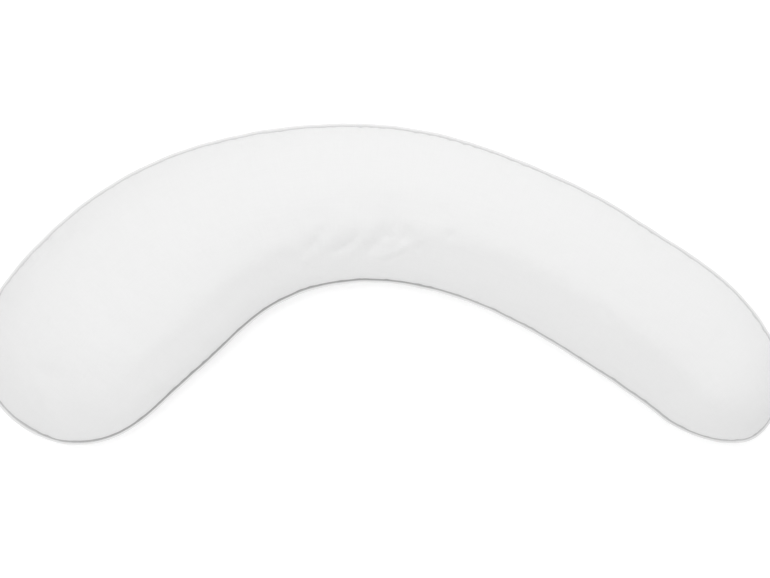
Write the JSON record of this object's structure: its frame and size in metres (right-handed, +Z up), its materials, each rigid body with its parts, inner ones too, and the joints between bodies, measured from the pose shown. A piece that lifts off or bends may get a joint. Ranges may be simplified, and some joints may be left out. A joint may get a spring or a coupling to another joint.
{
  "type": "body pillow",
  "caption": "Crescent-shaped filled body pillow in plain white cotton, wider at one end, with soft folds inside its bend. It lies flat and cradles a side sleeper.",
  "frame": {"origin": "on the resting surface, under the middle of the pillow's outline", "axes": "+X from the wide end towards the narrow end, +Y towards the outside of the bend, +Z up out of the upper panel"},
  "size_m": [1.531, 0.6072, 0.1838],
  "materials": {
    "white_cotton": "matt plain weave, bleached white"
  },
  "bodies": {
    "root": {"pillow": "white_cotton"}
  },
  "joints": []
}
